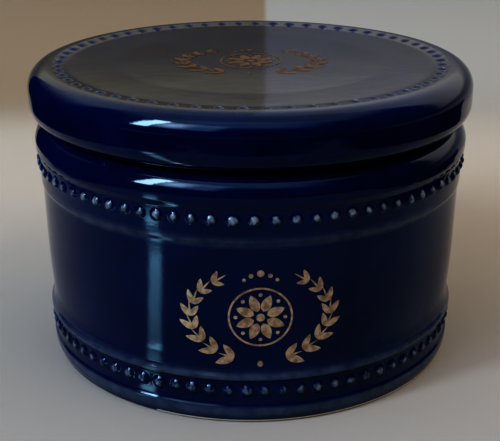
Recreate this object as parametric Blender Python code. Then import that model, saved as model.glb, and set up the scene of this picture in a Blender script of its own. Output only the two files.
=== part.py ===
"""A shut cheese jar of glazed stoneware: a squat round jar with two rings of beads,
and the flat lid with its own ring of beads that rests on the jar's rim.

The origin is the middle of the foot, on the surface that the jar stands on, and +Z is up.
The front faces -Y. Sizes are in millimetres and are turned to metres once, by MM.
"""
import math

import bmesh
import bpy
from mathutils import Matrix, Vector

MM = 0.001

# Driving sizes of the whole
LID_RADIUS = 49.9
JAR_HEIGHT = 54.1
LID_GAP = 0.3
LID_HEIGHT = 11.6
SIDES = 72

# Foot: a turned ring round a shallow recess, with a rounded roll above it
RECESS_RADIUS = 40.5
RECESS_DEPTH = 1.2
FOOT_INNER_RADIUS = 42.0
ROLL_RADIUS = 6.0
ROLL_REACH = 47.55
ROLL_HEIGHT = 3.4
ROLL_START = -34.5
ROLL_END = 18.0

# Lower bead band, between the foot roll and a half-round ridge
LOWER_FLOOR_RADIUS = 47.2
LOWER_FLOOR_BOTTOM = 5.8
RIDGE_REACH = 47.9
RIDGE_HEIGHT = 11.2
RIDGE_HALF_WIDTH = 1.1

# Wall: almost straight, opening a little upwards and very slightly bowed
WALL_BOTTOM = 13.6
WALL_TOP = 38.4
WALL_TOP_RADIUS = 47.95
WALL_DRAFT = 0.85
WALL_CURVE = 1.7

# Upper bead band: it stands out from the wall by a soft step
UPPER_FLOOR_RADIUS = 48.35
UPPER_FLOOR_BOTTOM = 40.4
UPPER_FLOOR_TOP = 48.0

# Rim band: a rounded collar above a sharp crease, rolling in to the top that carries the lid
RIM_REACH = 49.0
RIM_ROLL_RADIUS = 3.7
RIM_LIP_INSET = 0.15

# Lid: a rounded lower edge, a side that opens slightly, a full shoulder and a shallow dished top
LID_EDGE_RADIUS = 2.8
LID_EDGE_INSET = 0.35
LID_SIDE_HEIGHT = 5.2
LID_SIDE_INSET = 0.03
SHOULDER_SIZE = 5.0
SHOULDER_FULLNESS = 2.3
SHOULDER_DROP = 0.45
BORDER_RADIUS = 41.0
DISH_RADIUS = 36.5
DISH_FLOOR_RADIUS = 33.0
DISH_DEPTH = 0.35

# Rings of beads: count, radius and height of the ring, and the domes' own reach and half-width
BEAD_SIDES = 6
BEAD_RINGS = 4
UPPER_BEADS = 80
UPPER_BEAD_HEIGHT = 45.5
UPPER_BEAD_REACH = 0.6
UPPER_BEAD_HALF_WIDTH = 1.1
UPPER_BEAD_PHASE = 0.8
LOWER_BEADS = 80
LOWER_BEAD_HEIGHT = 7.6
LOWER_BEAD_REACH = 0.75
LOWER_BEAD_HALF_WIDTH = 1.35
LOWER_BEAD_PHASE = -0.9
LID_BEADS = 60
LID_BEAD_RING_RADIUS = 42.7
LID_BEAD_REACH = 0.6
LID_BEAD_HALF_WIDTH = 1.05
LID_BEAD_PHASE = -2.0

# Glaze: deep cobalt, glossy
GLAZE_COLOUR = (0.0035, 0.008, 0.032, 1.0)
GLAZE_ROUGHNESS = 0.08


def clear_scene():
    """Remove whatever the file opened with."""
    for item in list(bpy.data.objects):
        bpy.data.objects.remove(item, do_unlink=True)


def glaze(name):
    """The fired cobalt glaze of one piece."""
    material = bpy.data.materials.new(name)
    material.use_nodes = True
    shader = material.node_tree.nodes["Principled BSDF"]
    shader.inputs["Base Color"].default_value = GLAZE_COLOUR
    shader.inputs["Roughness"].default_value = GLAZE_ROUGHNESS
    shader.inputs["Metallic"].default_value = 0.0
    return material


def arc(centre, radius, start, end, steps):
    """Points (radius, height) along a circular arc, angles in degrees from the outward radius."""
    points = []
    for step in range(steps + 1):
        angle = math.radians(start + (end - start) * step / steps)
        points.append((centre[0] + radius * math.cos(angle), centre[1] + radius * math.sin(angle)))
    return points


def dome_radius(reach, half_width):
    """Radius of the sphere whose cap has this reach and half-width."""
    return (half_width ** 2 + reach ** 2) / (2.0 * reach)


def ridge_points():
    """The half-round ridge above the lower beads."""
    reach = RIDGE_REACH - LOWER_FLOOR_RADIUS
    radius = dome_radius(reach, RIDGE_HALF_WIDTH)
    half_angle = math.degrees(math.asin(RIDGE_HALF_WIDTH / radius))
    return arc((RIDGE_REACH - radius, RIDGE_HEIGHT), radius, -half_angle, half_angle, 4)


def wall_points(steps=3):
    """The plain wall, bowed by a power curve from its draft at the bottom to none at the top."""
    points = []
    for step in range(steps + 1):
        share = step / steps
        height = WALL_BOTTOM + (WALL_TOP - WALL_BOTTOM) * share
        points.append((WALL_TOP_RADIUS - WALL_DRAFT * (1.0 - share) ** WALL_CURVE, height))
    return points


def rim_points():
    """The rounded collar, from the crease under it to the jar's flat top."""
    lip = (RIM_REACH - RIM_LIP_INSET, UPPER_FLOOR_TOP + 0.4)
    roll_centre = (RIM_REACH - RIM_ROLL_RADIUS, JAR_HEIGHT - RIM_ROLL_RADIUS)
    return [lip] + arc(roll_centre, RIM_ROLL_RADIUS, 0.0, 90.0, 5)


def shoulder_points(inner_radius, belly, steps=6):
    """The lid's shoulder: a quarter round, a little fuller than a circle."""
    points = []
    for step in range(steps + 1):
        angle = math.radians(90.0 * step / steps)
        out = max(math.cos(angle), 0.0) ** (2.0 / SHOULDER_FULLNESS)
        up = math.sin(angle) ** (2.0 / SHOULDER_FULLNESS)
        points.append((inner_radius + SHOULDER_SIZE * out, belly + SHOULDER_SIZE * up))
    return points


def jar_profile():
    """The jar's outline from the middle of its underside to the middle of its top."""
    roll_centre = (ROLL_REACH - ROLL_RADIUS, ROLL_HEIGHT)
    underside = [(0.0, RECESS_DEPTH), (RECESS_RADIUS, RECESS_DEPTH), (FOOT_INNER_RADIUS, 0.0)]
    roll = arc(roll_centre, ROLL_RADIUS, ROLL_START, ROLL_END, 4)
    roll[0] = (roll[0][0], 0.0)
    lower_band = [(LOWER_FLOOR_RADIUS, LOWER_FLOOR_BOTTOM)]
    upper_band = [(UPPER_FLOOR_RADIUS, UPPER_FLOOR_BOTTOM), (UPPER_FLOOR_RADIUS, UPPER_FLOOR_TOP)]
    top = [(0.0, JAR_HEIGHT)]
    return underside + roll + lower_band + ridge_points() + wall_points() + upper_band + rim_points() + top


def lid_profile():
    """The lid's outline from the middle of its flat underside to the middle of its top."""
    seat = JAR_HEIGHT + LID_GAP
    top = seat + LID_HEIGHT
    belly = top - SHOULDER_SIZE
    edge_centre = (LID_RADIUS - LID_EDGE_INSET - LID_EDGE_RADIUS, seat + LID_EDGE_RADIUS)
    rolled_edge = arc(edge_centre, LID_EDGE_RADIUS, -90.0, 0.0, 4)
    side = [(LID_RADIUS - LID_SIDE_INSET, seat + LID_SIDE_HEIGHT)]
    shoulder = shoulder_points(LID_RADIUS - SHOULDER_SIZE, belly)
    border = top - SHOULDER_DROP
    dish = [
        (BORDER_RADIUS, border),
        (DISH_RADIUS, border),
        (DISH_FLOOR_RADIUS, border - DISH_DEPTH),
        (0.0, border - DISH_DEPTH),
    ]
    return [(0.0, seat)] + rolled_edge + side + shoulder + dish


def turned(name, profile):
    """One closed solid, turned from its outline about the Z axis."""
    work = bmesh.new()
    verts = [work.verts.new((radius * MM, 0.0, height * MM)) for radius, height in profile]
    edges = [work.edges.new(pair) for pair in zip(verts[:-1], verts[1:])]
    bmesh.ops.spin(
        work, geom=verts + edges, axis=(0.0, 0.0, 1.0), cent=(0.0, 0.0, 0.0),
        angle=2.0 * math.pi, steps=SIDES, use_merge=True,
    )
    bmesh.ops.remove_doubles(work, verts=work.verts, dist=0.001 * MM)
    bmesh.ops.recalc_face_normals(work, faces=work.faces)
    mesh = bpy.data.meshes.new(name)
    work.to_mesh(mesh)
    work.free()
    mesh.materials.append(glaze(name + "_glaze"))
    item = bpy.data.objects.new(name, mesh)
    bpy.context.scene.collection.objects.link(item)
    return item


def bead_mesh(name, radius):
    """A low-sided ball: only the cap that stands out of the clay is seen."""
    work = bmesh.new()
    bmesh.ops.create_uvsphere(work, u_segments=BEAD_SIDES, v_segments=BEAD_RINGS, radius=radius * MM)
    mesh = bpy.data.meshes.new(name)
    work.to_mesh(mesh)
    work.free()
    return mesh


def facing(angle):
    """The level direction at this angle, in degrees from the front (-Y) towards +X."""
    turn = math.radians(angle)
    return Vector((math.sin(turn), -math.cos(turn), 0.0))


def ring_of_beads(collection, name, count, phase, mesh, centre_radius, centre_height, outward):
    """Equal beads round the axis, each with its pole along the surface's outward direction."""
    for index in range(count):
        direction = facing(phase + 360.0 * index / count)
        pole = direction if outward else Vector((0.0, 0.0, 1.0))
        spot = direction * centre_radius * MM + Vector((0.0, 0.0, centre_height * MM))
        bead = bpy.data.objects.new(f"{name}_{index:02d}", mesh)
        turn = pole.to_track_quat("Z", "Y").to_matrix().to_4x4()
        bead.matrix_world = Matrix.Translation(spot) @ turn
        collection.objects.link(bead)


def fuse(body, collection):
    """Join the collection's beads to the body as one solid."""
    union = body.modifiers.new("Beads", "BOOLEAN")
    union.operation = "UNION"
    union.operand_type = "COLLECTION"
    union.collection = collection
    union.solver = "EXACT"
    bpy.context.view_layer.objects.active = body
    bpy.ops.object.modifier_apply(modifier=union.name)
    for bead in list(collection.objects):
        bpy.data.objects.remove(bead, do_unlink=True)
    bpy.data.collections.remove(collection)


def shade(item):
    """Smooth over the turned curves, sharp at the creases."""
    item.data.shade_smooth()
    item.data.set_sharp_from_angle(angle=math.radians(35.0))


def bead_collection(name):
    """An empty collection in the scene, to hold one body's beads."""
    collection = bpy.data.collections.new(name)
    bpy.context.scene.collection.children.link(collection)
    return collection


def make_jar():
    """The jar with its two rings of beads."""
    jar = turned("jar", jar_profile())
    beads = bead_collection("jar_beads")
    upper_radius = dome_radius(UPPER_BEAD_REACH, UPPER_BEAD_HALF_WIDTH)
    upper_centre = UPPER_FLOOR_RADIUS + UPPER_BEAD_REACH - upper_radius
    ring_of_beads(
        beads, "upper_bead", UPPER_BEADS, UPPER_BEAD_PHASE, bead_mesh("upper_bead", upper_radius),
        upper_centre, UPPER_BEAD_HEIGHT, outward=True,
    )
    lower_radius = dome_radius(LOWER_BEAD_REACH, LOWER_BEAD_HALF_WIDTH)
    lower_centre = LOWER_FLOOR_RADIUS + LOWER_BEAD_REACH - lower_radius
    ring_of_beads(
        beads, "lower_bead", LOWER_BEADS, LOWER_BEAD_PHASE, bead_mesh("lower_bead", lower_radius),
        lower_centre, LOWER_BEAD_HEIGHT, outward=True,
    )
    fuse(jar, beads)
    shade(jar)


def make_lid():
    """The lid with its ring of beads just inside the shoulder."""
    lid = turned("lid", lid_profile())
    beads = bead_collection("lid_beads")
    radius = dome_radius(LID_BEAD_REACH, LID_BEAD_HALF_WIDTH)
    ring_share = (LID_BEAD_RING_RADIUS - BORDER_RADIUS) / (LID_RADIUS - SHOULDER_SIZE - BORDER_RADIUS)
    surface = JAR_HEIGHT + LID_GAP + LID_HEIGHT - SHOULDER_DROP * (1.0 - ring_share)
    ring_of_beads(
        beads, "lid_bead", LID_BEADS, LID_BEAD_PHASE, bead_mesh("lid_bead", radius),
        LID_BEAD_RING_RADIUS, surface + LID_BEAD_REACH - radius, outward=False,
    )
    fuse(lid, beads)
    shade(lid)


clear_scene()
make_jar()
make_lid()
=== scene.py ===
"""The looks of a shut cheese jar: thick cobalt glaze over cast stoneware, rings of small
beads round the wall and the lid, and a plain gilt ornament printed on the front and the lid.

Lengths are in millimetres, turned to metres by MM. The jar's front faces -Y and +Z is up.
"""
import math
import random

import bpy
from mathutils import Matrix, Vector


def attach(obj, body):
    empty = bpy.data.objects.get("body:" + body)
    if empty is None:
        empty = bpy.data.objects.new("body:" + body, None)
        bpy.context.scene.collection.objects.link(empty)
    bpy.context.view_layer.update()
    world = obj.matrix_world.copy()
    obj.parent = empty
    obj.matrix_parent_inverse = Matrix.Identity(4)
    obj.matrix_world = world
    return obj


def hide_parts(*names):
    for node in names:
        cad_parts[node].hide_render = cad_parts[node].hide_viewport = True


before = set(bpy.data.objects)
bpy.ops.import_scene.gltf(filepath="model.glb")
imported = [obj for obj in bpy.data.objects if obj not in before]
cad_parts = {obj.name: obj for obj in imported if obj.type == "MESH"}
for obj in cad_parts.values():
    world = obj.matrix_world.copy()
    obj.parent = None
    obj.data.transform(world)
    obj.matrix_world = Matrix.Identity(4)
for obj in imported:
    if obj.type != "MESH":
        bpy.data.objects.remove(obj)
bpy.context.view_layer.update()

MM = 0.001

# The camera
# A hand-held close-up from in front and a little above, with the jar filling the frame.
# The height, distance and tilt are those at which the three rings of beads fall as photographed.
CAMERA_AWAY = 231.3
CAMERA_HEIGHT = 116.9
CAMERA_SIDE = -0.1
LOOK_DOWN = 21.34
LENS = 74.5

bpy.ops.object.camera_add(
    location=(CAMERA_SIDE * MM, -CAMERA_AWAY * MM, CAMERA_HEIGHT * MM),
    rotation=(math.radians(90.0 - LOOK_DOWN), 0.0, 0.0),
)
camera = bpy.context.object
camera.name = "camera"
camera.data.lens = LENS
camera.data.sensor_width = 36.0
camera.data.clip_start = 0.01
bpy.context.scene.camera = camera


# The jar
# One casting of stoneware, dipped in a deep cobalt glaze that pools in the creases and rounds
# every edge. The foot ring is wiped clean of glaze before firing, so bare pale clay shows there.

# The corners of its outline from the foot up, each as (radius, height, rounding).
FOOT_CORNERS = [
    (0.0, 1.2, 0.0),
    (40.8, 1.2, 1.0),
    (41.9, 0.0, 0.3),
    (46.1, 0.0, 0.4),
    (46.98, 0.32, 0.14),
    (47.08, 0.68, 0.08),
]
ROLL_CORNERS = [(47.55, 1.9, 1.6), (47.62, 3.7, 0.6), (47.15, 4.4, 0.8)]
RIDGE_CORNERS = [
    (47.2, 9.7, 0.4),
    (47.95, 10.35, 0.4),
    (47.9, 11.0, 0.7),
    (47.335, 11.94, 1.2),
    (47.06, 14.0, 10.0),
]
WALL_CORNERS = [(47.62, 22.0, 180.0), (47.95, 40.0, 0.5)]
BAND_CORNERS = [(48.26, 40.75, 0.5), (48.38, 44.3, 30.0), (48.38, 47.2, 0.3)]
RIM_CORNERS = [(49.0, 48.5, 0.3), (49.03, 50.3, 1.9), (47.83, 54.08, 4.5), (0.0, 54.08, 0.0)]

# How finely the outline is turned: steps round the axis, rows up its straight runs, and steps
# along each rounding, by length and by degrees. Points nearer than the last two are made one, on
# the outline and where the turned mesh meets itself.
TURNED_STEPS = 320
ROW_HEIGHT = 0.8
ARC_STEP = 0.3
ARC_TURN = 12.0
MOST_ARC_STEPS = 24
SAME_SPOT = 0.01
SEAM_GAP = 0.002

# Each ring of beads: how many, and the angle of the first one. The angle near which they open up,
# how far to both sides they do, and by how much, in degrees. Then the height of the ring, a bead's
# half width and reach, the glaze drawn up round it, and how pale its crest is: partly thinner glaze,
# partly a painted reflection of the pale table.
UPPER_BEADS = dict(
    count=80, phase=0.8, middle=-2.3, crowd=(10.0, 20.0), spread=(0.8, 0.8),
    along=45.15, half_width=1.08, reach=0.6, fillet=0.2, worn_and_sheen=1.0,
)
LOWER_BEADS = dict(
    count=80, phase=-0.9, middle=-18.0, crowd=(16.0, 20.0), spread=(0.5, 0.0),
    along=7.5, half_width=1.38, reach=0.7, fillet=0.16, worn_and_sheen=0.7,
)

# A bead is off its place by up to this length, and off its size by up to this share. No bead
# reaches further than so many half widths. The glaze drained this far off the crests.
BEAD_UNEVEN = 0.09
BEAD_SEARCH = 1.8
DRAINED = 0.28

# The mesh is finer round the beads: outside this radius, over so much more than their half width.
FINE_CUTS = 3
FINE_RADIUS = 46.9
UPPER_MARGIN = 0.75
LOWER_MARGIN = 0.7

# Where the mouldings are paler, partly from thinner glaze and partly as painted reflection of the table
# and room along them: each band starts at the first height, is full between the next two and ends at
# the fourth. The last value is how pale it is there.
MOULDING_RADIUS = 46.0
THIN_AND_SHEEN_BANDS = [
    (0.7, 2.4, 3.4, 4.1, 0.2),
    (10.1, 10.6, 11.3, 12.4, 0.19),
    (39.2, 40.1, 41.0, 41.9, 0.13),
]

# The glaze stops this high on the foot. Between two angles at the left it stops lower.
BARE_RADIUS = 41.0
GLAZE_LINE = 0.66
LOW_GLAZE_FROM, LOW_GLAZE_TO, LOW_GLAZE_LINE = -88.0, -25.0, 0.3


def deselect():
    bpy.ops.object.select_all(action="DESELECT")


def rounded(corners):
    """The outline through these corners, each (radius, height, rounding), as (radius, height) points."""
    points = [Vector(corners[0][:2])]
    for before, corner, after in zip(corners, corners[1:], corners[2:]):
        spot = Vector(corner[:2])
        inward = (Vector(before[:2]) - spot).normalized()
        outward = (Vector(after[:2]) - spot).normalized()
        opening = inward.angle(outward)
        reach = corner[2] / math.tan(opening / 2.0)
        centre = spot + (inward + outward).normalized() * corner[2] / math.sin(opening / 2.0)
        start = spot + inward * reach - centre
        turn = math.pi - opening
        side = 1.0 if start.y * inward.x - start.x * inward.y > 0.0 else -1.0
        steps = max(2, math.ceil(max(turn * corner[2] / ARC_STEP, turn / math.radians(ARC_TURN))))
        steps = min(steps, MOST_ARC_STEPS)
        for step in range(steps + 1):
            angle = side * turn * step / steps
            points.append(centre + Vector((
                start.x * math.cos(angle) - start.y * math.sin(angle),
                start.x * math.sin(angle) + start.y * math.cos(angle),
            )))
    points.append(Vector(corners[-1][:2]))
    return points


def with_rows(points, spacing):
    """The same outline with its long straight runs divided into rows."""
    rows = [points[0]]
    for start, end in zip(points, points[1:]):
        parts = max(1, math.ceil((end - start).length / spacing))
        rows += [start.lerp(end, part / parts) for part in range(1, parts + 1)]
    return [
        row for row, last in zip(rows, [None] + rows)
        if last is None or (row - last).length > SAME_SPOT
    ]


def turned(name, outline):
    """Draw the outline point by point as one line of edges, then spin it about the upright axis."""
    deselect()
    bpy.ops.mesh.primitive_plane_add(size=MM, location=(0.0, 0.0, 0.0))
    piece = bpy.context.object
    piece.name = name
    bpy.ops.object.mode_set(mode="EDIT")
    bpy.ops.mesh.select_mode(type="VERT")
    bpy.ops.mesh.select_all(action="SELECT")
    bpy.ops.mesh.merge(type="CENTER")
    bpy.ops.transform.translate(value=(outline[0].x * MM, 0.0, outline[0].y * MM))
    for start, end in zip(outline, outline[1:]):
        step = ((end.x - start.x) * MM, 0.0, (end.y - start.y) * MM)
        bpy.ops.mesh.extrude_region_move(TRANSFORM_OT_translate={"value": step})
    bpy.ops.mesh.select_all(action="SELECT")
    bpy.ops.mesh.spin(steps=TURNED_STEPS, angle=2.0 * math.pi, center=(0.0, 0.0, 0.0), axis=(0.0, 0.0, 1.0))
    bpy.ops.mesh.select_all(action="SELECT")
    bpy.ops.mesh.remove_doubles(threshold=SEAM_GAP * MM)
    bpy.ops.mesh.normals_make_consistent(inside=False)
    bpy.ops.object.mode_set(mode="OBJECT")
    bpy.ops.object.shade_smooth()
    return piece


def refine(piece, wanted):
    """Subdivide the faces that the test picks, and bring the new points out to the true round."""
    mesh = piece.data
    for polygon in mesh.polygons:
        polygon.select = wanted(polygon.center / MM)
    for edge in mesh.edges:
        edge.select = False
    for vertex in mesh.vertices:
        vertex.select = False
    deselect()
    piece.select_set(True)
    bpy.context.view_layer.objects.active = piece
    bpy.ops.object.mode_set(mode="EDIT")
    bpy.ops.mesh.select_mode(type="FACE")
    bpy.ops.mesh.subdivide(number_cuts=FINE_CUTS)
    bpy.ops.object.mode_set(mode="OBJECT")
    half_step = math.pi / TURNED_STEPS
    step = 2.0 * half_step
    for vertex in mesh.vertices:
        if not wanted(vertex.co / MM):
            continue
        off_middle = (math.atan2(vertex.co.y, vertex.co.x) % step) - half_step
        stretch = math.cos(off_middle) / math.cos(half_step)
        vertex.co.x *= stretch
        vertex.co.y *= stretch


def bead_height(distance, half_width, reach, fillet):
    """Height of a round bead over the surface, with the glaze drawn up round its edge."""
    ball = (half_width ** 2 + reach ** 2) / (2.0 * reach)
    dome = math.sqrt(max(ball ** 2 - distance ** 2, 0.0)) - (ball - reach)
    pooled = max(fillet * 2.0 - abs(dome), 0.0) ** 2 / (fillet * 8.0)
    return max(dome, 0.0) + pooled


def hand_set(angle, beads):
    """How far the beads near this angle stand off their even places: they open up near the middle."""
    off_middle = math.degrees(angle) - beads["middle"]
    side = 1 if off_middle > 0.0 else 0
    reach = off_middle / beads["crowd"][side]
    return math.radians(beads["spread"][side]) * reach * math.exp((1.0 - reach ** 2) / 2.0)


def raise_beads(piece, beads, spot_on_surface, seed):
    """Lift each point off the surface by the bead over it, and mark its pale crest: partly where the glaze
    ran off, partly painted reflection.
    """
    chance = random.Random(seed)
    pitch = 2.0 * math.pi / beads["count"]
    uneven = []
    for index in range(beads["count"]):
        uneven.append((
            chance.uniform(-1.0, 1.0) * BEAD_UNEVEN,
            chance.uniform(-1.0, 1.0) * BEAD_UNEVEN,
            1.0 + chance.uniform(-1.0, 1.0) * BEAD_UNEVEN,
        ))
    strength = beads["reach"] * (1.0 + BEAD_UNEVEN) + beads["fillet"]
    weights = {}
    crest_pales = {}
    for vertex in piece.data.vertices:
        angle, around, along = spot_on_surface(vertex.co / MM)
        if abs(along - beads["along"]) > beads["half_width"] * BEAD_SEARCH:
            continue
        place = (angle - hand_set(angle, beads) - math.radians(beads["phase"])) / pitch
        index = round(place)
        shift_around, shift_along, size = uneven[index % beads["count"]]
        sideways = (place - index) * pitch * around - shift_around
        upward = along - beads["along"] - shift_along
        shape = (beads["half_width"] * size, beads["reach"] * size, beads["fillet"])
        height = bead_height(math.hypot(sideways, upward), *shape)
        if height > 0.0:
            weights[vertex.index] = height / strength
            crest_pales[vertex.index] = bead_height(math.hypot(sideways, upward - DRAINED), *shape) / strength
    group = piece.vertex_groups.new(name="beads")
    for index, weight in weights.items():
        group.add([index], weight, "REPLACE")
    lift = piece.modifiers.new("Beads", "DISPLACE")
    lift.vertex_group = group.name
    lift.mid_level = 0.0
    lift.strength = strength * MM
    apply_modifier(piece, lift)
    piece.vertex_groups.remove(piece.vertex_groups["beads"])
    crest = piece.data.attributes.get("crest") or piece.data.attributes.new("crest", "FLOAT", "POINT")
    for index, weight in crest_pales.items():
        crest.data[index].value = weight * beads["worn_and_sheen"]


def pale_the_mouldings(piece, bands):
    """Mark where the mouldings are paler, partly thinner glaze and partly painted reflection: between these
    heights and by this much.
    """
    edge = piece.data.attributes.new("edge", "FLOAT", "POINT")
    for index, vertex in enumerate(piece.data.vertices):
        if math.hypot(vertex.co.x, vertex.co.y) < MOULDING_RADIUS * MM:
            continue
        height = vertex.co.z / MM
        for low, full, still_full, high, amount in bands:
            share = min((height - low) / (full - low), (high - height) / (high - still_full), 1.0)
            if share > 0.0:
                edge.data[index].value = amount * share


def apply_modifier(piece, modifier):
    deselect()
    piece.select_set(True)
    bpy.context.view_layer.objects.active = piece
    bpy.ops.object.modifier_apply(modifier=modifier.name)


def on_the_wall(point):
    """Angle from the front, radius and height: where a point of the wall lies among the beads."""
    return math.atan2(point.x, -point.y), math.hypot(point.x, point.y), point.z


def in_bead_band(point):
    outside = math.hypot(point.x, point.y) > FINE_RADIUS
    upper = abs(point.z - UPPER_BEADS["along"]) < UPPER_BEADS["half_width"] + UPPER_MARGIN
    lower = abs(point.z - LOWER_BEADS["along"]) < LOWER_BEADS["half_width"] + LOWER_MARGIN
    return outside and (upper or lower)


def unsettle(piece, size, depth):
    """The slight unevenness of a cast and dipped surface, as a soft cloud pattern in its shape."""
    cloud = bpy.data.textures.new(piece.name + "_unevenness", "CLOUDS")
    cloud.noise_scale = size * MM
    cloud.noise_depth = 1
    wave = piece.modifiers.new("Unevenness", "DISPLACE")
    wave.texture = cloud
    wave.texture_coords = "LOCAL"
    wave.mid_level = 0.5
    wave.strength = depth * MM
    apply_modifier(piece, wave)


jar_corners = FOOT_CORNERS + ROLL_CORNERS + RIDGE_CORNERS + WALL_CORNERS + BAND_CORNERS + RIM_CORNERS
jar = turned("stoneware_jar", with_rows(rounded(jar_corners), ROW_HEIGHT))
pale_the_mouldings(jar, THIN_AND_SHEEN_BANDS)
refine(jar, in_bead_band)
raise_beads(jar, UPPER_BEADS, on_the_wall, seed=11)
raise_beads(jar, LOWER_BEADS, on_the_wall, seed=23)
unsettle(jar, size=16.0, depth=0.05)
for vertex in jar.data.vertices:
    vertex.co.z = max(vertex.co.z, 0.0)


def linear(hex_colour):
    """An sRGB hex colour as the linear colour that a shader takes."""
    channels = [int(hex_colour[index:index + 2], 16) / 255.0 for index in (1, 3, 5)]
    return [c / 12.92 if c <= 0.04045 else ((c + 0.055) / 1.055) ** 2.4 for c in channels] + [1.0]


def add(tree, kind, settings=None, links=None):
    """One shader node, with its settings by name and its inputs set or linked by name."""
    node = tree.nodes.new("ShaderNode" + kind)
    for key, value in (settings or {}).items():
        setattr(node, key, value)
    for key, value in (links or {}).items():
        if isinstance(value, bpy.types.NodeSocket):
            tree.links.new(value, node.inputs[key])
        else:
            node.inputs[key].default_value = value
    return node


def new_material(name):
    """An empty material whose Principled shader is ready to be set up."""
    material = bpy.data.materials.new(name)
    material.use_nodes = True
    tree = material.node_tree
    return material, tree, tree.nodes["Principled BSDF"]


def grade(ramp, steps):
    """Set a colour ramp to these steps, each a position and a hex colour."""
    for position, colour in steps[1:-1]:
        ramp.elements.new(position)
    for element, (position, colour) in zip(ramp.elements, steps):
        element.position = position
        element.color = linear(colour)


def per_metre(size_mm):
    """The texture scale that gives a pattern of this size in millimetres."""
    return 1.0 / (size_mm * MM)


# The sockets of a Mix node that take and give colours.
MIX_ONE, MIX_OTHER, MIX_OUT = 6, 7, 2

GLAZE_DEPTHS = ((0.35, "#010F33"), (0.7, "#02163F"))
# The pale of the crests and mouldings: partly thinner glaze, partly painted reflection.
GLAZE_THIN_AND_SHEEN = "#727F8B"
GLAZE_TINT = "#CBEDFF"
CLAY_TONES = ((0.0, "#A79F94"), (1.0, "#C8C0B5"))


def glaze_colour(tree, spot):
    """Soft clouds of nearly black and navy, as the glaze lies thicker or thinner, and pale in flecks
    on the beads' crests and in patches along the mouldings: partly where the glaze ran off, partly
    painted reflection of the table and room."""
    depth = add(tree, "TexNoise", links={"Vector": spot, "Scale": per_metre(14.0), "Detail": 4.0})
    tone = add(tree, "ValToRGB", links={"Fac": depth.outputs["Fac"]})
    grade(tone.color_ramp, GLAZE_DEPTHS)
    crest = add(tree, "Attribute", {"attribute_name": "crest"})
    fleck = add(tree, "TexNoise", links={"Vector": spot, "Scale": per_metre(0.9), "Detail": 4.0})
    broken = add(tree, "Math", {"operation": "MULTIPLY"}, {0: crest.outputs["Fac"], 1: fleck.outputs["Fac"]})
    crest_pale = add(tree, "MapRange", links={
        "Value": broken.outputs["Value"], "From Min": 0.17, "From Max": 0.42,
    })
    edge = add(tree, "Attribute", {"attribute_name": "edge"})
    runs = add(tree, "TexNoise", links={"Vector": spot, "Scale": per_metre(2.6), "Detail": 3.0})
    patchy = add(tree, "MapRange", links={
        "Value": runs.outputs["Fac"], "From Min": 0.3, "From Max": 0.7, "To Min": 0.6, "To Max": 1.4,
    })
    worn_and_sheen = add(tree, "Math", {"operation": "MULTIPLY"}, {0: edge.outputs["Fac"], 1: patchy.outputs["Result"]})
    paler = add(tree, "Math", {"operation": "MAXIMUM"}, {0: crest_pale.outputs["Result"], 1: worn_and_sheen.outputs["Value"]})
    mixed = add(tree, "Mix", {"data_type": "RGBA"}, {
        "Factor": paler.outputs["Value"], MIX_ONE: tone.outputs["Color"], MIX_OTHER: linear(GLAZE_THIN_AND_SHEEN),
    })
    return mixed.outputs[MIX_OUT]


def glaze_skin(tree, spot):
    """The faint orange peel of fired glaze, a finer grain on it, and a few blisters and pinholes."""
    drawn = add(tree, "Mapping", links={"Vector": spot, "Scale": (1.0, 1.0, 2.5)})
    skin = add(tree, "TexNoise", links={
        "Vector": drawn.outputs["Vector"], "Scale": per_metre(3.2), "Detail": 3.0,
    })
    peel = add(tree, "Bump", links={"Height": skin.outputs["Fac"], "Strength": 0.3, "Distance": 0.05 * MM})
    grain = add(tree, "TexNoise", links={"Vector": spot, "Scale": per_metre(0.8), "Detail": 2.0})
    fine = add(tree, "Bump", links={
        "Height": grain.outputs["Fac"], "Strength": 0.5, "Distance": 0.012 * MM,
        "Normal": peel.outputs["Normal"],
    })
    pip = add(tree, "TexVoronoi", links={"Vector": spot, "Scale": per_metre(3.6), "Randomness": 1.0})
    near = add(tree, "MapRange", {"interpolation_type": "SMOOTHSTEP"}, {
        "Value": pip.outputs["Distance"], "From Min": 0.0, "From Max": 0.075, "To Min": 1.0, "To Max": 0.0,
    })
    chosen = add(tree, "SeparateColor", links={"Color": pip.outputs["Color"]})
    rare = add(tree, "Math", {"operation": "GREATER_THAN"}, {0: chosen.outputs["Red"], 1: 0.82})
    pimple = add(tree, "Math", {"operation": "MULTIPLY"}, {
        0: near.outputs["Result"], 1: rare.outputs["Value"],
    })
    spots = add(tree, "Bump", links={
        "Height": pimple.outputs["Value"], "Strength": 0.8, "Distance": 0.12 * MM,
        "Normal": fine.outputs["Normal"],
    })
    return spots.outputs["Normal"]


def cobalt_glaze():
    """Transparent lead-free glaze stained with cobalt over pale stoneware, fired glossy: it is
    deep and dark, and mirrors the room a little unevenly."""
    material, tree, shader = new_material("cobalt_glaze")
    spot = add(tree, "TexCoord").outputs["Object"]
    smear = add(tree, "TexNoise", links={"Vector": spot, "Scale": per_metre(9.0), "Detail": 5.0})
    gloss = add(tree, "MapRange", links={"Value": smear.outputs["Fac"], "To Min": 0.05, "To Max": 0.1})
    tree.links.new(glaze_colour(tree, spot), shader.inputs["Base Color"])
    tree.links.new(gloss.outputs["Result"], shader.inputs["Roughness"])
    tree.links.new(glaze_skin(tree, spot), shader.inputs["Normal"])
    shader.inputs["IOR"].default_value = 1.45
    shader.inputs["Specular Tint"].default_value = linear(GLAZE_TINT)
    return material


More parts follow.
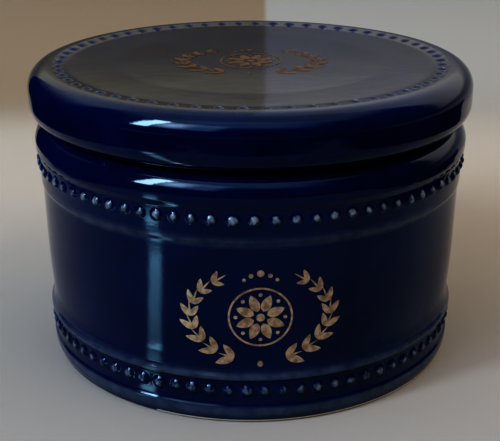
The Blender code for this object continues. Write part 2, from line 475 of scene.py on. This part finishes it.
def bare_clay():
    """Fired stoneware left unglazed: pale buff, matt and finely gritty."""
    material, tree, shader = new_material("bare_stoneware")
    spot = add(tree, "TexCoord").outputs["Object"]
    grit = add(tree, "TexNoise", links={"Vector": spot, "Scale": per_metre(0.7), "Detail": 6.0})
    tone = add(tree, "ValToRGB", links={"Fac": grit.outputs["Fac"]})
    grade(tone.color_ramp, CLAY_TONES)
    tree.links.new(tone.outputs["Color"], shader.inputs["Base Color"])
    rough = add(tree, "Bump", links={"Height": grit.outputs["Fac"], "Strength": 0.5, "Distance": 0.05 * MM})
    tree.links.new(rough.outputs["Normal"], shader.inputs["Normal"])
    shader.inputs["Roughness"].default_value = 0.8
    return material


glaze = cobalt_glaze()
jar.data.materials.append(glaze)
jar.data.materials.append(bare_clay())
for polygon in jar.data.polygons:
    angle, radius, height = on_the_wall(polygon.center / MM)
    glaze_lower = LOW_GLAZE_FROM < math.degrees(angle) < LOW_GLAZE_TO
    if radius > BARE_RADIUS and height < (LOW_GLAZE_LINE if glaze_lower else GLAZE_LINE):
        polygon.material_index = 1
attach(jar, "root")
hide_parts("jar")


# The lid
# A flat stoneware lid with a thick rolled edge, cast and glazed like the jar. Its top is a little
# dished inside the ring of beads, and it sits on the jar's rim with a dark seam between them.
LID_CORNERS = [
    (0.0, 54.42, 0.0),
    (49.74, 54.42, 4.1),
    (49.86, 66.02, 4.4),
    (44.4, 66.02, 2.0),
    (41.2, 65.6, 12.0),
    (30.0, 65.42, 60.0),
    (0.0, 65.36, 0.0),
]
LID_ROW_HEIGHT = 1.0

# Here a bead's place along the outline is its distance from the axis.
LID_BEADS = dict(
    count=60, phase=-2.0, middle=0.0, crowd=(20.0, 20.0), spread=(0.0, 0.0),
    along=42.9, half_width=1.1, reach=0.44, fillet=0.18, worn_and_sheen=0.6,
)
LID_TOP_FROM = 60.0
LID_FINE_FROM = 64.0
LID_MARGIN = 0.7


def on_the_lid(point):
    """Angle from the front, and the radius twice: a bead lies on the lid by angle and radius."""
    radius = math.hypot(point.x, point.y)
    return math.atan2(point.x, -point.y), radius, radius if point.z > LID_TOP_FROM else 0.0


def in_lid_bead_ring(point):
    off_ring = abs(math.hypot(point.x, point.y) - LID_BEADS["along"])
    return point.z > LID_FINE_FROM and off_ring < LID_BEADS["half_width"] + LID_MARGIN


lid = turned("stoneware_lid", with_rows(rounded(LID_CORNERS), LID_ROW_HEIGHT))
refine(lid, in_lid_bead_ring)
raise_beads(lid, LID_BEADS, on_the_lid, seed=37)
unsettle(lid, size=20.0, depth=0.06)
lid.data.materials.append(glaze)
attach(lid, "root")
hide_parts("lid")


# The gilt ornaments
# Matt gold lustre, printed as a transfer over the fired glaze and fired again: a film with no
# thickness to speak of, a little worn. A rosette in a ring, held between two leafy sprigs.
FILM_LIFT = 0.03
FILM_THICKNESS = FILM_LIFT * 0.8
MOTIF_GAP = 0.004

# A sprig's stem follows part of an oval, from one angle over so many degrees, a little inside it.
# Its leaves get smaller towards the tip. Each is given by its length, width and lean to the stem,
# and its outline is a sine wave with its widest place moved and its sides filled out.
LEAF_COUNT = 8
FIRST_LEAF = 0.6
LEAF_BELLY = 0.8
LEAF_FULLNESS = 0.75
LEAF_TAPER = 0.35
LEAVES = ((4.3, 1.7, -34.0), (3.9, 1.6, 38.0))
STEM_PIECE = (3.6, 0.42)
SPRIG_WIDTH = 15.4
SPRIG_HEIGHT = 10.8
SPRIG_FROM = -78.0
SPRIG_SPAN = 132.0
SPRIG_INSET = 0.93

# The rosette, and the loose dots over and under it: how far up, how far out, and their radius.
HEART_RADIUS = 0.9
RING_RADIUS = 6.6
RING_WIDTH = 0.45
PETAL_COUNT = 8
PETAL = (3.9, 2.1)
PETAL_FROM = 1.4
BETWEEN_DOT = 0.42
BETWEEN_RADIUS = 5.0
MIDDLE_DOTS = ((9.6, 0.75), (-10.6, 0.6))
SIDE_DOTS = ((9.1, 1.9, 0.5), (8.2, 3.3, 0.4))


def flat_leaf(length, width):
    """A pointed leaf lying along +X from the origin, as a small grid drawn in at both ends."""
    deselect()
    bpy.ops.mesh.primitive_grid_add(x_subdivisions=9, y_subdivisions=3, size=MM)
    leaf = bpy.context.object
    for vertex in leaf.data.vertices:
        share = vertex.co.x / MM + 0.5
        inside = 0.0 < share < 1.0
        fullness = math.sin(math.pi * share ** LEAF_BELLY) ** LEAF_FULLNESS if inside else 0.0
        vertex.co.x = share * length * MM
        vertex.co.y = vertex.co.y * width * fullness
    return leaf


def flat_ring(radius, width):
    """A plain thin ring round the origin."""
    deselect()
    bpy.ops.mesh.primitive_circle_add(vertices=72, radius=radius * MM)
    ring = bpy.context.object
    bpy.ops.object.mode_set(mode="EDIT")
    bpy.ops.mesh.select_all(action="SELECT")
    bpy.ops.mesh.extrude_edges_move()
    share = (radius - width) / radius
    bpy.ops.transform.resize(value=(share, share, share))
    bpy.ops.object.mode_set(mode="OBJECT")
    return ring


def flat_dot(radius):
    """A round dot on the origin."""
    deselect()
    bpy.ops.mesh.primitive_circle_add(vertices=16, radius=radius * MM, fill_type="TRIFAN")
    return bpy.context.object


def placed(motif, at, turn=0.0, mirrored=False):
    """Turn and move a flat motif's own mesh, in millimetres and degrees."""
    cosine = math.cos(math.radians(turn))
    sine = math.sin(math.radians(turn))
    for vertex in motif.data.vertices:
        x, y = vertex.co.x, vertex.co.y
        across = x * cosine - y * sine + at[0] * MM
        vertex.co.x = -across if mirrored else across
        vertex.co.y = x * sine + y * cosine + at[1] * MM
    return motif


def sprig(mirrored):
    """A stem that rises round one side of an oval, with leaves to both sides of it."""
    motifs = []
    for index in range(LEAF_COUNT):
        share = (index + FIRST_LEAF) / LEAF_COUNT
        angle = math.radians(SPRIG_FROM + SPRIG_SPAN * share)
        along, up = SPRIG_WIDTH * math.cos(angle), SPRIG_HEIGHT * math.sin(angle)
        spot = (along * SPRIG_INSET, up * SPRIG_INSET)
        heading = math.degrees(math.atan2(SPRIG_HEIGHT * math.cos(angle), -SPRIG_WIDTH * math.sin(angle)))
        size = 1.0 - LEAF_TAPER * share
        for length, width, lean in LEAVES:
            motifs.append(placed(flat_leaf(length * size, width * size), spot, heading + lean, mirrored))
        motifs.append(placed(flat_leaf(*STEM_PIECE), spot, heading, mirrored))
    return motifs


def rosette():
    """Petals round a dot, in a thin ring with small dots between the petals' tips."""
    motifs = [flat_dot(HEART_RADIUS), flat_ring(RING_RADIUS, RING_WIDTH)]
    for index in range(PETAL_COUNT):
        turn = 360.0 * (index + 0.5) / PETAL_COUNT
        away = (math.cos(math.radians(turn)), math.sin(math.radians(turn)))
        motifs.append(placed(flat_leaf(*PETAL), (away[0] * PETAL_FROM, away[1] * PETAL_FROM), turn))
        between = math.radians(turn + 180.0 / PETAL_COUNT)
        spot = (BETWEEN_RADIUS * math.cos(between), BETWEEN_RADIUS * math.sin(between))
        motifs.append(placed(flat_dot(BETWEEN_DOT), spot))
    return motifs


def ornament(name):
    """All the motifs of one ornament joined as a single flat print."""
    motifs = rosette() + sprig(False) + sprig(True)
    for up, radius in MIDDLE_DOTS:
        motifs.append(placed(flat_dot(radius), (0.0, up)))
    for side in (-1.0, 1.0):
        for up, out, radius in SIDE_DOTS:
            motifs.append(placed(flat_dot(radius), (side * out, up)))
    deselect()
    for motif in motifs:
        motif.select_set(True)
    bpy.context.view_layer.objects.active = motifs[0]
    bpy.ops.object.join()
    piece = bpy.context.object
    piece.name = name
    bpy.ops.object.mode_set(mode="EDIT")
    bpy.ops.mesh.select_all(action="SELECT")
    bpy.ops.mesh.remove_doubles(threshold=MOTIF_GAP * MM)
    bpy.ops.mesh.normals_make_consistent(inside=False)
    bpy.ops.object.mode_set(mode="OBJECT")
    return piece


def lay_on(piece, ware):
    """Wrap the print down onto the glazed piece, and give the film its thickness."""
    wrap = piece.modifiers.new("Wrap", "SHRINKWRAP")
    wrap.target = ware
    wrap.wrap_method = "NEAREST_SURFACEPOINT"
    wrap.wrap_mode = "ABOVE_SURFACE"
    wrap.offset = FILM_LIFT * MM
    apply_modifier(piece, wrap)
    film = piece.modifiers.new("Film", "SOLIDIFY")
    film.thickness = FILM_THICKNESS * MM
    film.offset = -1.0
    apply_modifier(piece, film)


def gold_lustre(name, tones):
    """Matt gold lustre: warm, soft in its shine, thinner and browner in patches."""
    material, tree, shader = new_material(name)
    spot = add(tree, "TexCoord").outputs["Object"]
    wear = add(tree, "TexNoise", links={"Vector": spot, "Scale": per_metre(1.1), "Detail": 5.0})
    tone = add(tree, "ValToRGB", links={"Fac": wear.outputs["Fac"]})
    grade(tone.color_ramp, tones)
    tree.links.new(tone.outputs["Color"], shader.inputs["Base Color"])
    gloss = add(tree, "MapRange", links={"Value": wear.outputs["Fac"], "To Min": 0.55, "To Max": 0.38})
    tree.links.new(gloss.outputs["Result"], shader.inputs["Roughness"])
    shader.inputs["Metallic"].default_value = 1.0
    return material


GILT_TONES = ((0.35, "#A88F78"), (0.6, "#DCC4A8"))
# The lid's print is given darker, browner tones than the front's.
LID_PRINT_TONES = ((0.35, "#4E3D30"), (0.6, "#806450"))
FRONT_CENTRE = (2.0, 24.5)
FRONT_RADIUS = 48.2
LID_PRINT_HEIGHT = 65.6
LID_PRINT_STRETCH = (1.06, 1.2)

gilt = gold_lustre("gold_lustre", GILT_TONES)
lid_gilt = gold_lustre("lid_gold_lustre", LID_PRINT_TONES)
front_print = ornament("front_ornament")
for vertex in front_print.data.vertices:
    angle = (vertex.co.x / MM + FRONT_CENTRE[0]) / FRONT_RADIUS
    height = vertex.co.y + FRONT_CENTRE[1] * MM
    vertex.co = (FRONT_RADIUS * math.sin(angle) * MM, -FRONT_RADIUS * math.cos(angle) * MM, height)
lay_on(front_print, jar)

lid_print = ornament("lid_ornament")
for vertex in lid_print.data.vertices:
    vertex.co.x *= LID_PRINT_STRETCH[0]
    vertex.co.y *= LID_PRINT_STRETCH[1]
    vertex.co.z = LID_PRINT_HEIGHT * MM
lay_on(lid_print, lid)

for piece, slot, lustre in ((front_print, "jar_glaze", gilt), (lid_print, "lid_glaze", lid_gilt)):
    piece.data.materials.append(lustre)
    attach(piece, "root")


# The table and the wall
# A pale matt table top in front of a warm plastered wall, as one sheet with a rounded bend. The
# wall is shaded on the left of a corner, and is clear from behind, so that it hides nothing there.
TABLE_WIDTH = 5600.0
TABLE_FRONT = 2800.0
WALL_AT = 260.0
WALL_HEIGHT = 900.0
WALL_BEND = 60.0

# The wall's tones at shares of the toned height, with painted shade low down and painted light higher
# up, and the place of its corner. The table turns to its far tone, brighter as painted light, over one
# stretch, and to the wall's over another.
TONED_HEIGHT = 400.0
WALL_LEFT = ((0.09, "#85796A"), (0.26, "#736B51"), (0.31, "#887F5E"), (0.36, "#CFC59D"), (0.55, "#D9D2C5"))
WALL_RIGHT = ((0.09, "#959594"), (0.26, "#868785"), (0.31, "#A7A398"), (0.36, "#E6DFCF"), (0.55, "#F8F3EC"))
WALL_CORNER = (5.5, 8.5)
TABLE_TONES = ((0.0, "#888787"), (1.0, "#919090"))
TABLE_FAR_TONE = "#A29D98"
TABLE_FAR = (-70.0, 120.0)
WALL_FROM = (150.0, 230.0)

deselect()
bpy.ops.mesh.primitive_plane_add(size=MM)
table = bpy.context.object
table.name = "table_and_backdrop"
for vertex in table.data.vertices:
    vertex.co.x = math.copysign(TABLE_WIDTH / 2.0 * MM, vertex.co.x)
    vertex.co.y = WALL_AT * MM if vertex.co.y > 0.0 else -TABLE_FRONT * MM
bpy.ops.object.mode_set(mode="EDIT")
bpy.ops.mesh.select_mode(type="EDGE")
bpy.ops.mesh.select_all(action="DESELECT")
bpy.ops.object.mode_set(mode="OBJECT")
for edge in table.data.edges:
    edge.select = all(table.data.vertices[index].co.y > 0.0 for index in edge.vertices)
bpy.ops.object.mode_set(mode="EDIT")
bpy.ops.mesh.extrude_region_move(TRANSFORM_OT_translate={"value": (0.0, 0.0, WALL_HEIGHT * MM)})
bpy.ops.object.mode_set(mode="OBJECT")
for edge in table.data.edges:
    ends = [table.data.vertices[index].co for index in edge.vertices]
    edge.select = all(end.y > 0.0 and end.z < MM for end in ends)
bpy.ops.object.mode_set(mode="EDIT")
bpy.ops.mesh.bevel(offset=WALL_BEND * MM, segments=16, affect="EDGES")
bpy.ops.mesh.select_all(action="SELECT")
bpy.ops.mesh.normals_make_consistent(inside=True)
bpy.ops.object.mode_set(mode="OBJECT")
bpy.ops.object.shade_smooth()


def fade_over(tree, socket, stretch):
    """From 0 to 1 as this coordinate passes along the stretch, in millimetres."""
    return add(tree, "MapRange", {"interpolation_type": "SMOOTHSTEP"}, {
        "Value": socket, "From Min": stretch[0] * MM, "From Max": stretch[1] * MM,
    }).outputs["Result"]


def pale_laminate():
    """Pale matt laminate that turns into plaster: faintly clouded near the camera, and warmer and
    brighter further off as painted light. Then the wall, with painted shade low down and on the left of
    its corner, which is also warmer there, and painted light to the right and higher up."""
    material, tree, shader = new_material("pale_laminate_and_plaster")
    spot = add(tree, "TexCoord").outputs["Object"]
    place = add(tree, "SeparateXYZ", links={"Vector": spot})
    height = add(tree, "MapRange", links={"Value": place.outputs["Z"], "From Max": TONED_HEIGHT * MM})
    left = add(tree, "ValToRGB", links={"Fac": height.outputs["Result"]})
    grade(left.color_ramp, WALL_LEFT)
    right = add(tree, "ValToRGB", links={"Fac": height.outputs["Result"]})
    grade(right.color_ramp, WALL_RIGHT)
    wall = add(tree, "Mix", {"data_type": "RGBA"}, {
        "Factor": fade_over(tree, place.outputs["X"], WALL_CORNER),
        MIX_ONE: left.outputs["Color"], MIX_OTHER: right.outputs["Color"],
    })
    cloud = add(tree, "TexNoise", links={"Vector": spot, "Scale": per_metre(180.0), "Detail": 3.0})
    top = add(tree, "ValToRGB", links={"Fac": cloud.outputs["Fac"]})
    grade(top.color_ramp, TABLE_TONES)
    ground = add(tree, "Mix", {"data_type": "RGBA"}, {
        "Factor": fade_over(tree, place.outputs["Y"], TABLE_FAR),
        MIX_ONE: top.outputs["Color"], MIX_OTHER: linear(TABLE_FAR_TONE),
    })
    all_over = add(tree, "Mix", {"data_type": "RGBA"}, {
        "Factor": fade_over(tree, place.outputs["Y"], WALL_FROM),
        MIX_ONE: ground.outputs[MIX_OUT], MIX_OTHER: wall.outputs[MIX_OUT],
    })
    tree.links.new(all_over.outputs[MIX_OUT], shader.inputs["Base Color"])
    shader.inputs["Roughness"].default_value = 0.7
    shader.inputs["Specular IOR Level"].default_value = 0.0
    veil = add(tree, "MixShader", links={
        "Fac": add(tree, "NewGeometry").outputs["Backfacing"],
        1: shader.outputs["BSDF"], 2: add(tree, "BsdfTransparent").outputs["BSDF"],
    })
    tree.links.new(veil.outputs["Shader"], tree.nodes["Material Output"].inputs["Surface"])
    return material


table.data.materials.append(pale_laminate())


# The lights
# A cool window at the front left with its haze and frame, a wide soft sky above the camera, a warm
# ceiling, a warm light on the right and a cool one on the left. The sky only shows in reflections,
# and the two side lights don't show in them.
FAR_AWAY = 1200.0
SIDE_AWAY = 900.0
CEILING_AWAY = 850.0
AIM_HEIGHT = 40.0


def softbox(name, azimuth, elevation, away, spans, glow, colour, feather):
    """A flat light turned to the jar, fading out towards its edges.

    Azimuth runs from the front towards the left, the spans are the angles that it fills as seen
    from the jar, and feather is the share of each side over which it fades.
    """
    level = away * math.cos(math.radians(elevation))
    spot = Vector((
        -level * math.sin(math.radians(azimuth)),
        -level * math.cos(math.radians(azimuth)),
        away * math.sin(math.radians(elevation)),
    )) * MM
    bpy.ops.object.light_add(type="AREA", location=spot)
    light = bpy.context.object
    light.name = name
    width, height = [2.0 * away * math.tan(math.radians(span / 2.0)) * MM for span in spans]
    light.data.shape = "RECTANGLE"
    light.data.size = width
    light.data.size_y = height
    light.data.energy = glow * math.pi * width * height
    light.data.color = colour
    light.data.use_nodes = True
    tree = light.data.node_tree
    spread = add(tree, "SeparateXYZ", links={"Vector": add(tree, "NewGeometry").outputs["Parametric"]})
    fades = []
    for axis in ("X", "Y"):
        far_side = add(tree, "Math", {"operation": "SUBTRACT"}, {0: 1.0, 1: spread.outputs[axis]})
        inset = add(tree, "Math", {"operation": "MINIMUM"}, {
            0: spread.outputs[axis], 1: far_side.outputs["Value"],
        })
        fades.append(add(tree, "MapRange", {"interpolation_type": "SMOOTHSTEP"}, {
            "Value": inset.outputs["Value"], "From Min": 0.0, "From Max": feather,
        }).outputs["Result"])
    strength = add(tree, "Math", {"operation": "MULTIPLY"}, {0: fades[0], 1: fades[1]})
    tree.links.new(strength.outputs["Value"], tree.nodes["Emission"].inputs["Strength"])
    aim = Vector((0.0, 0.0, AIM_HEIGHT * MM)) - spot
    light.rotation_euler = aim.to_track_quat("-Z", "Y").to_euler()
    return light


softbox(
    "window", azimuth=56.3, elevation=37.7, away=FAR_AWAY, spans=(9.2, 33.6),
    glow=17.5, colour=(0.8, 0.92, 1.0), feather=0.1,
)
softbox(
    "window_haze", azimuth=42.0, elevation=39.0, away=FAR_AWAY, spans=(22.0, 32.0),
    glow=7.0, colour=(0.8, 0.86, 1.0), feather=0.5,
)
softbox(
    "window_frame", azimuth=36.0, elevation=39.0, away=FAR_AWAY, spans=(40.0, 32.0),
    glow=1.6, colour=(0.72, 0.8, 1.0), feather=0.2,
)
sky = softbox(
    "sky", azimuth=8.0, elevation=57.0, away=FAR_AWAY, spans=(84.0, 46.0),
    glow=1.0, colour=(0.75, 0.8, 1.0), feather=0.4,
)
sky.visible_diffuse = False
softbox(
    "ceiling", azimuth=0.0, elevation=90.0, away=CEILING_AWAY, spans=(86.0, 62.0),
    glow=0.6, colour=(1.0, 0.9, 0.78), feather=0.25,
)
fill = softbox(
    "fill", azimuth=-62.0, elevation=45.0, away=SIDE_AWAY, spans=(70.0, 50.0),
    glow=2.4, colour=(1.0, 0.85, 0.68), feather=0.3,
)
fill.visible_glossy = False
side = softbox(
    "side", azimuth=78.0, elevation=30.0, away=SIDE_AWAY, spans=(40.0, 40.0),
    glow=2.4, colour=(0.7, 0.85, 1.0), feather=0.3,
)
side.visible_glossy = False


# The dark cards
# Nearly black cards upright just out of the picture, a tall one on the left and low ones in front and
# on the right: painted shade, standing in for the shaded room that the glaze reflects there, which keep
# the glaze deep and clear. They fade out upwards, and only show in reflections.
CARD_FOOT = 1.0
TALL_CARD = dict(fade=95.0, high=235.0)
LOW_CARD = dict(fade=34.0, high=52.0)


def only_in_reflections(piece):
    """Hide a thing of the studio from the camera, and keep it from lighting or shading the rest."""
    piece.visible_camera = False
    piece.visible_diffuse = False
    piece.visible_shadow = False


def dark_card(name, start, end, fade, high):
    """An upright card on the line between two places on the table, faded out from fade to high."""
    deselect()
    bpy.ops.mesh.primitive_grid_add(x_subdivisions=2, y_subdivisions=2, size=MM)
    card = bpy.context.object
    card.name = name
    for vertex in card.data.vertices:
        across, up = vertex.co.x / MM + 0.5, vertex.co.y / MM + 0.5
        spot = Vector(start).lerp(Vector(end), across)
        vertex.co = (spot.x * MM, spot.y * MM, (CARD_FOOT + (high - CARD_FOOT) * up) * MM)
    material, tree, shader = new_material("reflected_shade_card")
    shader.inputs["Base Color"].default_value = linear("#0B0C10")
    shader.inputs["Roughness"].default_value = 0.9
    place = add(tree, "SeparateXYZ", links={"Vector": add(tree, "TexCoord").outputs["Object"]})
    veil = add(tree, "MixShader", links={
        "Fac": fade_over(tree, place.outputs["Z"], (fade, high)),
        1: shader.outputs["BSDF"], 2: add(tree, "BsdfTransparent").outputs["BSDF"],
    })
    tree.links.new(veil.outputs["Shader"], tree.nodes["Material Output"].inputs["Surface"])
    card.data.materials.append(material)
    only_in_reflections(card)


dark_card("left_card", (-160.0, 195.0), (-160.0, -105.0), **TALL_CARD)
dark_card("left_front_card", (-160.0, -105.0), (-95.0, -200.0), **LOW_CARD)
dark_card("front_card", (-95.0, -200.0), (150.0, -200.0), **LOW_CARD)
dark_card("right_card", (150.0, -200.0), (150.0, 80.0), **LOW_CARD)


# The window's glare
# A narrow patch on the table that widens away from the jar, laid there as a glow of its own. It
# only shows in reflections, as the long streak down the wall.
GLARE_START = (-37.2, -53.5)
GLARE_HEADING = (-0.749, -0.663)
GLARE_RUN = (-15.0, 118.0)
GLARE_LIFT = 0.3
GLARE_COLOUR = "#C4F0FF"
GLARE_STRENGTH = 6.0

# Half its width at the start and what each millimetre adds, with a feather that widens it all.
# Past a certain run it lies to one side by the given shift, which it reaches over a few millimetres.
GLARE_HALF_WIDTH = 2.8
GLARE_WIDENING = 0.057
GLARE_FEATHERED = 1.55
SHIFT_FROM, SHIFT_OVER, SHIFT_BY = 66.0, 8.0, 3.3

# How bright it is along its run, in millimetres from the start: the panes and the bars between.
GLARE_STEPS = (
    (-13.6, 0.0), (-12.8, 0.7), (-11.0, 0.7), (-9.5, 0.0), (-5.0, 0.0), (-3.0, 0.8), (1.0, 0.85),
    (2.8, 0.2), (16.0, 0.32), (31.0, 0.4), (45.0, 0.5), (54.0, 0.66), (62.0, 0.32), (66.0, 0.12),
    (70.0, 0.12), (74.0, 0.9), (90.0, 0.7), (104.0, 0.3), (118.0, 0.0),
)


def along_the_run(run):
    """The share of the whole run at which this distance from the start lies."""
    return (run - GLARE_RUN[0]) / (GLARE_RUN[1] - GLARE_RUN[0])


def glare_light():
    """A pale blue glow over clear air, with the panes along it and soft sides across it."""
    material, tree, shader = new_material("window_glare")
    tree.nodes.remove(shader)
    along = add(tree, "Attribute", {"attribute_name": "along"})
    panes = add(tree, "ValToRGB", links={"Fac": along.outputs["Fac"]})
    for run, level in GLARE_STEPS[1:-1]:
        panes.color_ramp.elements.new(along_the_run(run))
    for step, (run, level) in zip(panes.color_ramp.elements, GLARE_STEPS):
        step.position = along_the_run(run)
        step.color = (level, level, level, 1.0)
    off_line = add(tree, "Attribute", {"attribute_name": "across"})
    soft = add(tree, "MapRange", {"interpolation_type": "SMOOTHSTEP"}, {
        "Value": off_line.outputs["Fac"], "From Min": 0.3, "From Max": 1.0,
        "To Min": GLARE_STRENGTH, "To Max": 0.0,
    })
    glow = add(tree, "Math", {"operation": "MULTIPLY"}, {
        0: panes.outputs["Color"], 1: soft.outputs["Result"],
    })
    shine = add(tree, "Emission", links={"Color": linear(GLARE_COLOUR), "Strength": glow.outputs["Value"]})
    both = add(tree, "AddShader", links={
        0: shine.outputs["Emission"], 1: add(tree, "BsdfTransparent").outputs["BSDF"],
    })
    tree.links.new(both.outputs["Shader"], tree.nodes["Material Output"].inputs["Surface"])
    return material


deselect()
bpy.ops.mesh.primitive_grid_add(x_subdivisions=8, y_subdivisions=66, size=MM)
glare = bpy.context.object
glare.name = "window_glare"
across_glare = glare.data.attributes.new("across", "FLOAT", "POINT")
along_glare = glare.data.attributes.new("along", "FLOAT", "POINT")
for index, vertex in enumerate(glare.data.vertices):
    across, share = vertex.co.x / MM * 2.0, vertex.co.y / MM + 0.5
    run = GLARE_RUN[0] + (GLARE_RUN[1] - GLARE_RUN[0]) * share
    shifted = SHIFT_BY * min(max((run - SHIFT_FROM) / SHIFT_OVER, 0.0), 1.0)
    reach = across * (GLARE_HALF_WIDTH + GLARE_WIDENING * run) * GLARE_FEATHERED - shifted
    vertex.co = (
        (GLARE_START[0] + GLARE_HEADING[0] * run - GLARE_HEADING[1] * reach) * MM,
        (GLARE_START[1] + GLARE_HEADING[1] * run + GLARE_HEADING[0] * reach) * MM,
        GLARE_LIFT * MM,
    )
    across_glare.data[index].value = abs(across)
    along_glare.data[index].value = share
glare.data.materials.append(glare_light())
only_in_reflections(glare)


# The room
# A dim grey room beyond the lights, and a steep contrast like the photograph's.
world = bpy.data.worlds.new("room")
world.use_nodes = True
world.node_tree.nodes["Background"].inputs["Color"].default_value = linear("#D8DCE2")
world.node_tree.nodes["Background"].inputs["Strength"].default_value = 0.02
bpy.context.scene.world = world
bpy.context.scene.view_settings.view_transform = "Standard"
bpy.context.scene.view_settings.look = "Very High Contrast"
